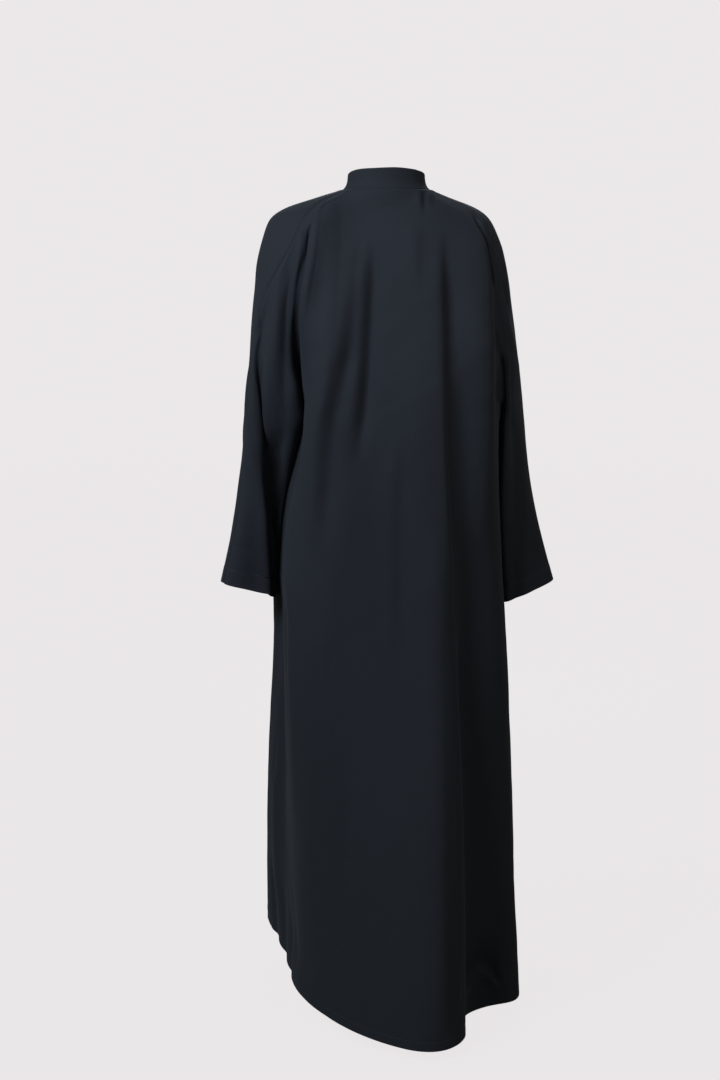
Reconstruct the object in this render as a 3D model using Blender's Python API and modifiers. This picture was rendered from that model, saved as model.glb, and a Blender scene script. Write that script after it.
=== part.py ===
"""A long open-front abaya cloak as worn: a back and two fronts, each cut in one with its
half-sleeves, and a stand collar. Metres, +Z up, the wearer faces +Y, the origin is the base
of the neck between the two shoulder points."""
import math

import bpy
import numpy as np

for old in list(bpy.data.objects):
    bpy.data.objects.remove(old, do_unlink=True)

MM = 0.001

# Cloth and seams
CLOTH = 1.3 * MM
COLLAR_CLOTH = 2.4 * MM
SEAM_GAP = 0.3 * MM
COLLAR_HEIGHT_BACK = 37.5 * MM
COLLAR_HEIGHT_FRONT = 24.0 * MM
COLLAR_LEAN = 5.0 * MM
COLLAR_POWER = 0.8
NECK_LEFT = 77.0 * MM
NECK_RIGHT = 78.0 * MM
NECK_BEHIND = 65.0 * MM
NECK_FRONT = 66.0 * MM
NECK_RISE = 3.0 * MM
FRONT_NECK_DROP = 80.0 * MM
FRONT_NECK_POWER = 1.6

# Heights of the stations below the neck base
BLADE = -0.165
CHEST = -0.280
UNDERARM = -0.400
ELBOW = -0.550
HIP = -0.780
KNEE = -1.080

# Rows of faces between the stations, neck to blade first
DOME_ROWS = 8
CHEST_ROWS = 3
UNDERARM_ROWS = 4
SLEEVE_ROWS = (4, 5)
BODY_ROWS = (4, 6, 6, 7)

# Horizontal rings of the neck and shoulders, each a superellipse about the neck
SHOULDER_RINGS = (
    # drop, left half width, right half width, depth behind, depth in front, power
    (-0.003, 0.0770, 0.0780, 0.065, 0.055, 2.00),
    (0.001, 0.0950, 0.0910, 0.067, 0.056, 1.85),
    (0.008, 0.1200, 0.1090, 0.071, 0.057, 1.75),
    (0.018, 0.1510, 0.1350, 0.077, 0.060, 1.65),
    (0.028, 0.1800, 0.1600, 0.083, 0.062, 1.70),
    (0.039, 0.2000, 0.1770, 0.090, 0.064, 1.80),
    (0.060, 0.2140, 0.1920, 0.101, 0.068, 2.00),
    (0.090, 0.2225, 0.2035, 0.112, 0.077, 2.15),
    (0.125, 0.2295, 0.2130, 0.120, 0.091, 2.30),
    (0.165, 0.2335, 0.2200, 0.126, 0.108, 2.40),
)

# Guide lines of the sleeves: ring angle (0 left, 90 back) at neck, shoulder and blade, how far
# the line is pulled in at the blade, then x and y at chest, underarm, elbow and cuff, cuff z.
# The two overarm seams are shared by a sleeve's back and front halves
LEFT_OVERARM = (
    # name, neck, shoulder, blade, in, chest x, y, underarm x, y, elbow x, y, cuff x, y, z
    "overarm", 20, 41, 25.3, 0.000, -0.243, -0.018, -0.2525, 0.000, -0.2645, 0.000,
    -0.297, 0.010, -0.700,
)
RIGHT_OVERARM = (
    "overarm", 160, 157.5, 158, 0.000, 0.2350, -0.010, 0.2500, 0.020, 0.2705, 0.030,
    0.308, 0.022, -0.6995,
)
LEFT_SLEEVE_BACK = (
    # name, neck, shoulder, blade, in, chest x, y, underarm x, y, elbow x, y, cuff x, y, z
    LEFT_OVERARM,
    ("ridge", 24, 43, 30, 0.000, -0.2335, -0.050, -0.2310, -0.055, -0.214, -0.064, -0.206, -0.056, -0.7225),
    ("dip", 27, 44, 34, 0.002, -0.2240, -0.055, -0.2235, -0.040, -0.206, -0.048, -0.202, -0.038, -0.7255),
    ("crest", 30, 45, 39, 0.000, -0.201, -0.083, -0.196, -0.072, -0.197, -0.030, -0.200, -0.020, -0.728),
    ("inner", 33, 46, 44, 0.004, -0.180, -0.078, -0.171, -0.048, -0.1915, -0.010, -0.200, 0.000, -0.729),
    ("underarm", 36, 47, 48, 0.012, -0.169, -0.064, -0.156, 0.000, -0.1935, 0.012, -0.201, 0.020, -0.729),
)
RIGHT_SLEEVE_BACK = (
    ("underarm", 144, 150, 146, 0.012, 0.199, -0.048, 0.204, 0.000, 0.203, 0.045, 0.210, 0.050, -0.736),
    ("inner", 148, 152, 149, 0.002, 0.208, -0.050, 0.214, -0.012, 0.212, 0.014, 0.222, 0.018, -0.735),
    ("crest", 153, 155, 153, 0.000, 0.222, -0.045, 0.227, -0.020, 0.240, -0.002, 0.264, -0.004, -0.717),
    RIGHT_OVERARM,
)
LEFT_SLEEVE_FRONT = (
    LEFT_OVERARM,
    ("outer", 8, 18, 0, 0.000, -0.244, 0.022, -0.251, 0.034, -0.263, 0.036, -0.289, 0.042, -0.702),
    ("crest", -8, -6, -25, 0.000, -0.219, 0.072, -0.220, 0.070, -0.236, 0.068, -0.252, 0.074, -0.712),
    ("inner", -22, -24, -38, 0.002, -0.188, 0.076, -0.184, 0.050, -0.210, 0.056, -0.215, 0.064, -0.722),
    ("underarm", -34, -37, -46, 0.010, -0.170, 0.066, -0.156, 0.000, -0.1935, 0.012, -0.201, 0.020, -0.729),
)
RIGHT_SLEEVE_FRONT = (
    ("underarm", 214, 216, 226, 0.010, 0.190, 0.070, 0.204, 0.000, 0.203, 0.045, 0.210, 0.050, -0.736),
    ("inner", 202, 204, 218, 0.002, 0.203, 0.082, 0.212, 0.060, 0.214, 0.088, 0.224, 0.094, -0.728),
    ("crest", 188, 188, 204, 0.000, 0.222, 0.070, 0.232, 0.092, 0.240, 0.104, 0.264, 0.102, -0.714),
    ("outer", 171, 171, 180, 0.000, 0.2370, 0.030, 0.2500, 0.060, 0.264, 0.072, 0.297, 0.066, -0.701),
    RIGHT_OVERARM,
)

# Guide lines of the body, the same columns down to the underarm, then waist, hip, knee and hem
BACK_BODY = (
    # name, neck, shoulder, blade, in, chest x, y, underarm x, y, waist x, y, hip x, y,
    # knee x, y, hem x, y, z
    ("left side", 36, 47, 48, 0.012, -0.169, -0.064, -0.156, 0.000, -0.181, 0.003, -0.2015, 0.030,
     -0.2170, 0.060, -0.217, 0.100, -1.385),
    ("left strip", 42, 51, 53, 0.004, -0.156, -0.090, -0.153, -0.055, -0.182, -0.055, -0.192, -0.055,
     -0.198, -0.030, -0.186, 0.000, -1.410),
    ("left ridge", 48, 57, 60, 0.000, -0.132, -0.113, -0.140, -0.106, -0.166, -0.106, -0.178, -0.118,
     -0.167, -0.115, -0.162, -0.108, -1.433),
    ("left blade", 64, 70, 72, 0.000, -0.080, -0.131, -0.090, -0.138, -0.105, -0.145, -0.110, -0.162,
     -0.100, -0.185, -0.106, -0.205, -1.447),
    ("centre", 90, 90, 90, 0.000, 0.000, -0.137, 0.000, -0.145, 0.000, -0.155, 0.000, -0.180,
     0.000, -0.235, 0.000, -0.320, -1.4525),
    ("train", 101, 104, 102, 0.000, 0.055, -0.138, 0.060, -0.147, 0.065, -0.158, 0.075, -0.184,
     0.085, -0.246, 0.090, -0.345, -1.455),
    ("right fold", 112, 117, 112, 0.003, 0.100, -0.130, 0.102, -0.136, 0.108, -0.146, 0.117, -0.175,
     0.127, -0.228, 0.128, -0.315, -1.452),
    ("right tuck", 122, 128, 126, 0.000, 0.144, -0.124, 0.146, -0.132, 0.146, -0.138, 0.132, -0.140,
     0.138, -0.155, 0.140, -0.195, -1.450),
    ("right flank", 132, 138, 137, 0.000, 0.180, -0.098, 0.185, -0.102, 0.192, -0.105, 0.190, -0.105,
     0.192, -0.106, 0.200, -0.140, -1.448),
    ("right edge", 139, 145, 142, 0.003, 0.195, -0.070, 0.2015, -0.060, 0.2080, -0.052, 0.2175, -0.052,
     0.2250, -0.060, 0.2330, -0.136, -1.445),
    ("right side", 144, 150, 146, 0.012, 0.199, -0.048, 0.204, 0.000, 0.199, 0.000, 0.2110, 0.000,
     0.2270, 0.000, 0.236, -0.035, -1.431),
)
LEFT_FRONT_BODY = (
    ("left side", -34, -37, -46, 0.010, -0.170, 0.066, -0.156, 0.000, -0.181, 0.003, -0.2015, 0.030,
     -0.2170, 0.060, -0.217, 0.100, -1.385),
    ("left corner", -42, -45, -54, 0.002, -0.155, 0.092, -0.157, 0.066, -0.192, 0.094, -0.201, 0.100,
     -0.214, 0.135, -0.226, 0.200, -1.378),
    ("left flank", -52, -56, -63, 0.000, -0.128, 0.112, -0.138, 0.112, -0.158, 0.122, -0.165, 0.138,
     -0.172, 0.202, -0.188, 0.282, -1.388),
    ("left front", -70, -72, -75, 0.000, -0.075, 0.126, -0.080, 0.130, -0.085, 0.126, -0.090, 0.144,
     -0.098, 0.205, -0.110, 0.287, -1.400),
    ("left edge", -89.5, -89.5, -89.5, 0.000, -0.005, 0.128, -0.006, 0.137, -0.007, 0.139, -0.009, 0.160,
     -0.013, 0.228, -0.018, 0.322, -1.410),
)
RIGHT_FRONT_BODY = (
    ("right edge", 269.5, 269.5, 269.5, 0.000, 0.005, 0.128, 0.006, 0.137, 0.007, 0.139, 0.009, 0.160,
     0.013, 0.228, 0.018, 0.322, -1.410),
    ("right front", 250, 252, 255, 0.000, 0.080, 0.127, 0.085, 0.131, 0.088, 0.127, 0.088, 0.144,
     0.094, 0.206, 0.102, 0.286, -1.412),
    ("right flank", 232, 236, 243, 0.000, 0.136, 0.114, 0.150, 0.112, 0.152, 0.108, 0.162, 0.132,
     0.186, 0.200, 0.196, 0.275, -1.415),
    ("right corner", 222, 225, 234, 0.002, 0.168, 0.096, 0.186, 0.066, 0.182, 0.058, 0.196, 0.076,
     0.219, 0.100, 0.230, 0.150, -1.420),
    ("right side", 214, 216, 226, 0.010, 0.190, 0.070, 0.204, 0.000, 0.199, 0.000, 0.2110, 0.000,
     0.2270, 0.000, 0.236, -0.035, -1.431),
)

# Columns of faces between one guide line and the next
LEFT_SLEEVE_COLUMNS = (3, 1, 2, 2, 2)
RIGHT_SLEEVE_COLUMNS = (2, 2, 3)
BACK_COLUMNS = (2, 2, 3, 4, 3, 2, 2, 2, 2, 2)
LEFT_FRONT_SLEEVE_COLUMNS = (2, 3, 2, 2)
RIGHT_FRONT_SLEEVE_COLUMNS = (2, 2, 3, 2)
LEFT_FRONT_COLUMNS = (2, 2, 3, 3)
RIGHT_FRONT_COLUMNS = (3, 3, 2, 2)
COLLAR_ROWS = 2

# A narrow column beside each seam holds the cloth's slope there, and closed curves are
# continued by a few points past their joint
GUARD = 1.2 * MM
WRAP = 3
SEAM_LINES = ("underarm", "left side", "right side")

CREPE_COLOUR = (0.014, 0.017, 0.021)
COLLAR_COLOUR = (0.015, 0.018, 0.022)
CREPE_ROUGHNESS = 0.85


def natural_spline(knots, values, samples):
    """Values at the samples of the natural cubic spline through one value per knot."""
    knots = np.asarray(knots, float)
    values = np.asarray(values, float)
    steps = np.diff(knots)
    slopes = np.diff(values, axis=0) / steps[:, None]
    count = len(knots)
    system = np.eye(count)
    right = np.zeros_like(values)
    for k in range(1, count - 1):
        system[k, k - 1] = steps[k - 1]
        system[k, k] = 2.0 * (steps[k - 1] + steps[k])
        system[k, k + 1] = steps[k]
        right[k] = 6.0 * (slopes[k] - slopes[k - 1])
    bends = np.linalg.solve(system, right)
    span = np.clip(np.searchsorted(knots, samples, side="right") - 1, 0, count - 2)
    step = steps[span][:, None]
    before = (np.asarray(samples, float) - knots[span])[:, None]
    after = step - before
    line = (values[span] * after + values[span + 1] * before) / step
    low = bends[span] * (after**3 / step - step * after)
    high = bends[span + 1] * (before**3 / step - step * before)
    return line + (low + high) / 6.0


class Curve:
    """The smooth curve through a list of points; a closed one joins its ends smoothly."""

    def __init__(self, points, closed=False):
        points = np.asarray(points, float)
        self.lead = 0
        if closed:
            self.lead = WRAP
            points = np.concatenate((points[-1 - WRAP : -1], points, points[1 : 1 + WRAP]))
        lengths = np.linalg.norm(np.diff(points, axis=0), axis=1)
        self.points = points
        self.knots = np.concatenate(([0.0], np.cumsum(lengths)))

    def stretch(self, first, counts, guard_start=False, guard_end=False):
        """Points from guide point number first on, with so many steps in each span, and a
        narrow step beside a seam where an end is guarded."""
        first += self.lead
        places = [self.knots[first]]
        for k, steps in enumerate(counts):
            span = np.linspace(self.knots[first + k], self.knots[first + k + 1], steps + 1)
            places.extend(span[1:])
        if guard_start:
            places.insert(1, places[0] + GUARD)
        if guard_end:
            places.insert(-1, places[-1] - GUARD)
        return natural_spline(self.knots, self.points, places)


RING_DROPS = [row[0] for row in SHOULDER_RINGS]
RING_SIZES = [row[1:] for row in SHOULDER_RINGS]


def shoulder_point(angle, z, pull=0.0):
    """The point of the shoulder ring at height z, at an angle in degrees from the left."""
    left, right, behind, front, power = natural_spline(RING_DROPS, RING_SIZES, [-z])[0]
    across = math.cos(math.radians(angle))
    along = math.sin(math.radians(angle))
    width = right if across < 0.0 else left
    depth = behind if along > 0.0 else front
    x = -width * math.copysign(abs(across) ** (2.0 / power), across)
    y = -(depth - pull) * math.copysign(abs(along) ** (2.0 / power), along)
    return (x, y, z)


def neck_drop(angle):
    """How far the neckline lies below the neck base at a ring angle: only the front drops."""
    forward = -math.sin(math.radians(angle))
    if forward <= 0.0:
        return -NECK_RISE
    return FRONT_NECK_DROP * forward**FRONT_NECK_POWER - NECK_RISE


def neck_point(angle):
    """The point of the neckline at a ring angle: an ellipse that drops toward the front."""
    across = math.cos(math.radians(angle))
    along = math.sin(math.radians(angle))
    width = NECK_RIGHT if across < 0.0 else NECK_LEFT
    depth = NECK_BEHIND if along > 0.0 else NECK_FRONT
    return (-width * across, -depth * along, -neck_drop(angle))


def dome_knots(row):
    """Points of one guide line from the neckline down to the blade: shoulder ring points,
    drawn toward the neckline near the top."""
    neck, shoulder, blade, pull = row[1:5]
    start = neck_point(neck)
    top = start[2]
    ring = shoulder_point(neck, top)
    points = []
    for k in range(DOME_ROWS + 1):
        part = k / DOME_ROWS
        z = top + (BLADE - top) * (1.0 - math.cos(0.5 * math.pi * part))
        angle = (
            neck * (1.0 - part) * (1.0 - 2.0 * part)
            + shoulder * 4.0 * part * (1.0 - part)
            + blade * part * (2.0 * part - 1.0)
        )
        x, y, z = shoulder_point(angle, z, pull * part**2)
        fade = (1.0 - part) ** 2
        points.append((x + (start[0] - ring[0]) * fade, y + (start[1] - ring[1]) * fade, z))
    return points


def guide(row, levels):
    """Stations of one guide line: the dome, then the x and y of each level, then the end."""
    points = dome_knots(row)
    values = row[5:]
    for k, level in enumerate(levels):
        points.append((values[2 * k], values[2 * k + 1], level))
    points.append(tuple(values[-3:]))
    return points


UPPER_ROWS = (1,) * DOME_ROWS + (CHEST_ROWS, UNDERARM_ROWS)
UPPER = sum(UPPER_ROWS)
SPLIT_START = DOME_ROWS + CHEST_ROWS
UNDERARM_POINT = DOME_ROWS + 2
SLEEVE_LEVELS = (CHEST, UNDERARM, ELBOW)
BODY_LEVELS = (CHEST, UNDERARM, ELBOW, HIP, KNEE)
CROTCH = 1.1 * CLOTH + 0.5 * SEAM_GAP
HALF_GAP = 0.5 * SEAM_GAP


def guide_lines(table, levels, lower_rows):
    """Every guide line of a table as points, one per row of faces. Below the underarm a line
    is drawn from its lower stations alone if it is the seam there, so both panels agree."""
    lines = []
    for row in table:
        points = guide(row, levels)
        line = Curve(points).stretch(0, UPPER_ROWS + lower_rows)
        if row[0] in SEAM_LINES:
            line[UPPER:] = Curve(points[UNDERARM_POINT:]).stretch(0, lower_rows)
        lines.append(line)
    return np.array(lines)


def smooth_step(value):
    """0 below 0, 1 above 1 and an S curve between."""
    value = min(max(value, 0.0), 1.0)
    return value * value * (3.0 - 2.0 * value)


def body_part(table):
    return guide_lines(table, BODY_LEVELS, BODY_ROWS)


def sleeve_part(table):
    return guide_lines(table, SLEEVE_LEVELS, SLEEVE_ROWS)


# The ring of seven parts, from the left front edge by the left arm, the back and the right
# arm to the right front edge
PARTS = (
    (body_part(LEFT_FRONT_BODY[::-1]), LEFT_FRONT_COLUMNS[::-1]),
    (sleeve_part(LEFT_SLEEVE_FRONT[::-1]), LEFT_FRONT_SLEEVE_COLUMNS[::-1]),
    (sleeve_part(LEFT_SLEEVE_BACK), LEFT_SLEEVE_COLUMNS),
    (body_part(BACK_BODY), BACK_COLUMNS),
    (sleeve_part(RIGHT_SLEEVE_BACK), RIGHT_SLEEVE_COLUMNS),
    (sleeve_part(RIGHT_SLEEVE_FRONT[::-1]), RIGHT_FRONT_SLEEVE_COLUMNS),
    (body_part(RIGHT_FRONT_BODY[::-1]), RIGHT_FRONT_COLUMNS),
)
LEFT_CHEST, LEFT_ARM_FRONT, LEFT_ARM_BACK, BACK = range(4)
RIGHT_ARM_BACK, RIGHT_ARM_FRONT, RIGHT_CHEST = range(4, 7)
EVERY_PART = range(7)
# Parts whose start or end is the overarm seam, and the ones sewn at the underarm
OVERARM_STARTS = (LEFT_ARM_BACK, RIGHT_ARM_FRONT)
OVERARM_ENDS = (LEFT_ARM_FRONT, RIGHT_ARM_BACK)
BODY_RING = (LEFT_CHEST, BACK, RIGHT_CHEST)
LEFT_ARM = (LEFT_ARM_FRONT, LEFT_ARM_BACK)
RIGHT_ARM = (RIGHT_ARM_BACK, RIGHT_ARM_FRONT)


def chained(numbers, r, closed, below):
    """Row r of some parts drawn as one smooth curve and cut into its parts again."""
    guides = np.concatenate([PARTS[n][0][(1 if k else 0) :, r] for k, n in enumerate(numbers)])
    curve = Curve(guides, closed)
    first = 0
    pieces = {}
    for n in numbers:
        counts = PARTS[n][1]
        start = n in OVERARM_STARTS or (below and n != LEFT_CHEST)
        end = n in OVERARM_ENDS or (below and n != RIGHT_CHEST)
        pieces[n] = curve.stretch(first, counts, start, end)
        first += len(counts)
    return pieces


def upper_row(r):
    """Row r above the underarm: one curve all round, which parts into arms and body lower
    down. The last row is the one from which the legs of the sleeves and body hang."""
    if r == UPPER:
        split = chained(LEFT_ARM, r, True, False)
        split.update(chained(RIGHT_ARM, r, True, False))
        split.update(chained(BODY_RING, r, False, False))
        return split
    whole = chained(EVERY_PART, r, False, False)
    share = smooth_step((r - SPLIT_START) / (UPPER - SPLIT_START))
    if share == 0.0:
        return whole
    split = {}
    for numbers in ((LEFT_CHEST,), LEFT_ARM, (BACK,), RIGHT_ARM, (RIGHT_CHEST,)):
        split.update(chained(numbers, r, False, False))
    return {n: whole[n] * (1.0 - share) + split[n] * share for n in whole}


def toward(point, other, amount):
    """A point moved by an amount toward another one."""
    step = other - point
    return point + step / np.linalg.norm(step) * amount


def trimmed(row):
    """A row with both ends moved into the cloth by half the seam gap."""
    row = row.copy()
    row[0] = toward(row[0], row[1], HALF_GAP)
    row[-1] = toward(row[-1], row[-2], HALF_GAP)
    return row


class Cloth:
    """Points and faces of one sheet, built row by row."""

    def __init__(self):
        self.points = []
        self.faces = []

    def add_row(self, row):
        start = len(self.points)
        self.points.extend(tuple(point) for point in row)
        return list(range(start, start + len(row)))

    def join(self, upper, lower):
        for k in range(len(upper) - 1):
            face = [upper[k], lower[k], lower[k + 1], upper[k + 1]]
            if upper[k] == upper[k + 1]:
                face.pop()
            self.faces.append(face)


def joined_row(pieces, numbers):
    return np.concatenate([pieces[n][(1 if k else 0) :] for k, n in enumerate(numbers)])


def panel(numbers, crotch_shift):
    """One panel cut from neighbouring parts, with a leg hanging below each of them."""
    cloth = Cloth()
    rows = [trimmed(joined_row(pieces, numbers)) for pieces in UPPER_PIECES]
    for column in range(len(rows[0])):
        rows[0][column] = toward(rows[0][column], rows[1][column], HALF_GAP)
    widths = [len(UPPER_PIECES[-1][n]) - 1 for n in numbers]
    corners = np.concatenate(([0], np.cumsum(widths)))
    for corner in corners[1:-1]:
        rows[-1][corner, 1] += crotch_shift
    above = [cloth.add_row(row) for row in rows]
    for first, second in zip(above, above[1:]):
        cloth.join(first, second)
    for n, start, end in zip(numbers, corners, corners[1:]):
        last = above[-1][start : end + 1]
        if n not in OVERARM_STARTS and n != LEFT_CHEST:
            last = last[:1] + last
        if n not in OVERARM_ENDS and n != RIGHT_CHEST:
            last = last + last[-1:]
        for pieces in LOWER_PIECES[n]:
            new = cloth.add_row(trimmed(pieces))
            cloth.join(last, new)
            last = new
    return cloth


def new_material(name, colour, roughness):
    material = bpy.data.materials.new(name)
    material.use_nodes = True
    shader = material.node_tree.nodes["Principled BSDF"]
    shader.inputs["Base Color"].default_value = (*colour, 1.0)
    shader.inputs["Roughness"].default_value = roughness
    shader.inputs["Metallic"].default_value = 0.0
    return material


COLLECTION = bpy.data.collections.new("abaya_cloak")
bpy.context.scene.collection.children.link(COLLECTION)


def add_sheet(name, cloth, thickness, material):
    """One sheet of cloth as a named object, thickened inward."""
    mesh = bpy.data.meshes.new(name)
    mesh.from_pydata(cloth.points, [], cloth.faces)
    mesh.update()
    for polygon in mesh.polygons:
        polygon.use_smooth = True
    item = bpy.data.objects.new(name, mesh)
    item.data.materials.append(material)
    COLLECTION.objects.link(item)
    solid = item.modifiers.new("Solidify", "SOLIDIFY")
    solid.thickness = thickness
    solid.offset = -1.0


UPPER_PIECES = [upper_row(r) for r in range(UPPER + 1)]
LOWER_PIECES = {n: [] for n in EVERY_PART}
for numbers, closed in ((BODY_RING, False), (LEFT_ARM, True), (RIGHT_ARM, True)):
    for r in range(UPPER + 1, PARTS[numbers[0]][0].shape[1]):
        for n, piece in chained(numbers, r, closed, True).items():
            LOWER_PIECES[n].append(piece)

CREPE_BACK = new_material("crepe_back", CREPE_COLOUR, CREPE_ROUGHNESS)
CREPE_LEFT = new_material("crepe_left_front", CREPE_COLOUR, CREPE_ROUGHNESS)
CREPE_RIGHT = new_material("crepe_right_front", CREPE_COLOUR, CREPE_ROUGHNESS)
CREPE_COLLAR = new_material("crepe_collar", COLLAR_COLOUR, CREPE_ROUGHNESS)

add_sheet("back", panel((LEFT_ARM_BACK, BACK, RIGHT_ARM_BACK), -CROTCH), CLOTH, CREPE_BACK)
add_sheet("front_left", panel((LEFT_CHEST, LEFT_ARM_FRONT), CROTCH), CLOTH, CREPE_LEFT)
add_sheet("front_right", panel((RIGHT_ARM_FRONT, RIGHT_CHEST), CROTCH), CLOTH, CREPE_RIGHT)

# Stand collar: the whole neckline raised, leaning in a little toward its top
collar = Cloth()
neckline = joined_row(UPPER_PIECES[0], EVERY_PART)
last = None
for r in range(COLLAR_ROWS, -1, -1):
    share = r / COLLAR_ROWS
    row = neckline.copy()
    behind = np.clip(-neckline[:, 1] / NECK_BEHIND, 0.0, 1.0) ** COLLAR_POWER
    height = COLLAR_HEIGHT_FRONT + (COLLAR_HEIGHT_BACK - COLLAR_HEIGHT_FRONT) * behind
    inward = -neckline[:, :2] / np.linalg.norm(neckline[:, :2], axis=1)[:, None]
    row[:, :2] += inward * COLLAR_LEAN * share**2
    row[:, 2] += HALF_GAP + height * share
    new = collar.add_row(row)
    if last is not None:
        collar.join(last, new)
    last = new
add_sheet("collar", collar, COLLAR_CLOTH, CREPE_COLLAR)
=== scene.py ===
import math

import bpy
import numpy as np
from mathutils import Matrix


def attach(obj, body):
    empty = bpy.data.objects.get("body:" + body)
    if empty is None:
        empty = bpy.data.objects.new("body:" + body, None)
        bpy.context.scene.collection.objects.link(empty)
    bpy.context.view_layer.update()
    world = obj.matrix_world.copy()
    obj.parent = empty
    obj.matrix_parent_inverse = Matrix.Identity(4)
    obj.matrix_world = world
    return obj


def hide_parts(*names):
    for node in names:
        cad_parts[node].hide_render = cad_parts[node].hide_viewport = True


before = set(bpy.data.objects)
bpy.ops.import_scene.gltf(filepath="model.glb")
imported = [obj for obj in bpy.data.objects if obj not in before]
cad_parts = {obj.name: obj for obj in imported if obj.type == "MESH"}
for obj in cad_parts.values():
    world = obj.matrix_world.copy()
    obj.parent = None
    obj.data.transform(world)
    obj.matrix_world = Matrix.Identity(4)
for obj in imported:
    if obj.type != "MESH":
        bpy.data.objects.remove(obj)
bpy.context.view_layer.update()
print("frame loaded")

neck = {
    "left": 0.077,
    "right": 0.078,
    "behind": 0.065,
    "front": 0.066,
    "rise": 0.003,
    "frontDrop": 0.080,
    "frontPower": 1.6,
}

cloth = {
    "thickness": 0.0009,
    "cell": 0.0052,  # width of a face
    "rowCell": 0.0062,  # height of a face
    "seamLap": 0.00004,  # how far each sewn edge reaches over the seam, so that no light comes through
    "seamSteps": (0.0008, 0.0022),  # narrow columns beside a seam, and rows beside a hem
    "seamDepth": 0.0012,
    "seamWidth": 0.0018,
    "seamCalm": 0.012,  # creases fade out this near a seam
    "neckCalm": 0.030,
    "neckTurn": 0.0022,  # the cloth turns up to the collar's slant
    "neckTurnWidth": 0.009,
    "cuffHem": 0.030,
    "skirtHem": 0.015,
    "frontHem": 0.012,
    "cuffRise": 0.0004,
    "skirtRise": 0.0002,
    "hemEase": 0.0009,  # half the width of the step at a hem's edge
    "foldedPast": 0.0002,  # the doubled cloth reaches this far past the stitch line
    "frontEase": 0.003,
    "stitchDip": 0.0008,
}

# z of the levels that the lines go through
heights = {
    "blade": -0.165,
    "chest": -0.280,
    "underarm": -0.400,
    "elbow": -0.550,
    "hip": -0.780,
    "knee": -1.080,
}
domeRows = 8  # steps from the neck down to the blade

# rings of the neck and shoulders: drop, left and right half width, depth behind and in front,
# power of the rounding
shoulderRings = np.array(
    [
        (-0.003, 0.077, 0.078, 0.065, 0.055, 2.0),
        (0.001, 0.095, 0.091, 0.067, 0.056, 1.85),
        (0.008, 0.12, 0.109, 0.071, 0.057, 1.75),
        (0.018, 0.151, 0.135, 0.077, 0.06, 1.65),
        (0.028, 0.18, 0.16, 0.083, 0.062, 1.7),
        (0.039, 0.2, 0.177, 0.09, 0.064, 1.8),
        (0.06, 0.214, 0.192, 0.101, 0.068, 2.0),
        (0.09, 0.2225, 0.2035, 0.112, 0.077, 2.15),
        (0.125, 0.2295, 0.213, 0.12, 0.091, 2.3),
        (0.165, 0.2335, 0.22, 0.126, 0.108, 2.4),
    ]
)

# lines down the sleeves, in degrees and millimetres: name, angle round the neck, at the shoulder
# and at the blade, pull inward, then x and y at chest, underarm and elbow, and the cuff's x, y, z
leftOverarm = ("overarm", 20, 44.5, 30.5, 0, -239, -30, -251.5, -6, -262, -22, -293.5, -16, -700)
rightOverarm = ("overarm", 160, 157.5, 158, 0, 235, -10, 250, 20, 270.5, 30, 308, 22, -699.5)
leftSleeveBack = (
    leftOverarm,
    ("ridge", 24, 46, 34, 0, -230, -53, -229, -56, -211, -38, -203, -14, -722.5),
    ("dip", 27, 47, 37, 2, -222, -56, -219, -43, -202, -24, -201, -6, -725.5),
    ("crest", 32, 50, 44, 0, -194, -88, -184, -71, -192, -12, -200, -4, -728),
    ("inner", 36, 51, 48.5, 3, -171, -88, -161, -69, -182.5, -4, -200, 6, -729),
    ("underarm", 39, 52.5, 52.5, 12, -159, -70, -156, 0, -193.5, 12, -201, 20, -729),
)
rightSleeveBack = (
    ("underarm", 144, 150, 146, 9, 201, -73, 204, 0, 203, 45, 210, 50, -733),
    ("inner", 148, 152, 149, 2, 205.5, -72, 213.5, -62, 212.5, -43, 224, -24, -732),
    ("crest", 153, 155, 153, 0, 222, -60, 227, -44, 238, -22, 263, -14, -717),
    rightOverarm,
)
leftSleeveFront = (
    leftOverarm,
    ("outer", 8, 18, 0, 0, -244, 22, -251, 34, -263, 36, -289, 42, -702),
    ("crest", -8, -6, -25, 0, -219, 72, -220, 70, -236, 68, -252, 74, -712),
    ("inner", -22, -24, -38, 2, -188, 76, -184, 50, -210, 56, -215, 64, -722),
    ("underarm", -34, -37, -46, 10, -170, 66, -156, 0, -193.5, 12, -201, 20, -729),
)
rightSleeveFront = (
    ("underarm", 214, 216, 226, 10, 190, 70, 204, 0, 203, 45, 210, 50, -733),
    ("inner", 202, 204, 218, 2, 203, 82, 212, 60, 214, 88, 224, 94, -728),
    ("crest", 188, 188, 204, 0, 222, 70, 232, 92, 240, 104, 264, 102, -714),
    ("outer", 171, 171, 180, 0, 237, 30, 250, 60, 264, 72, 297, 66, -701),
    rightOverarm,
)

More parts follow.
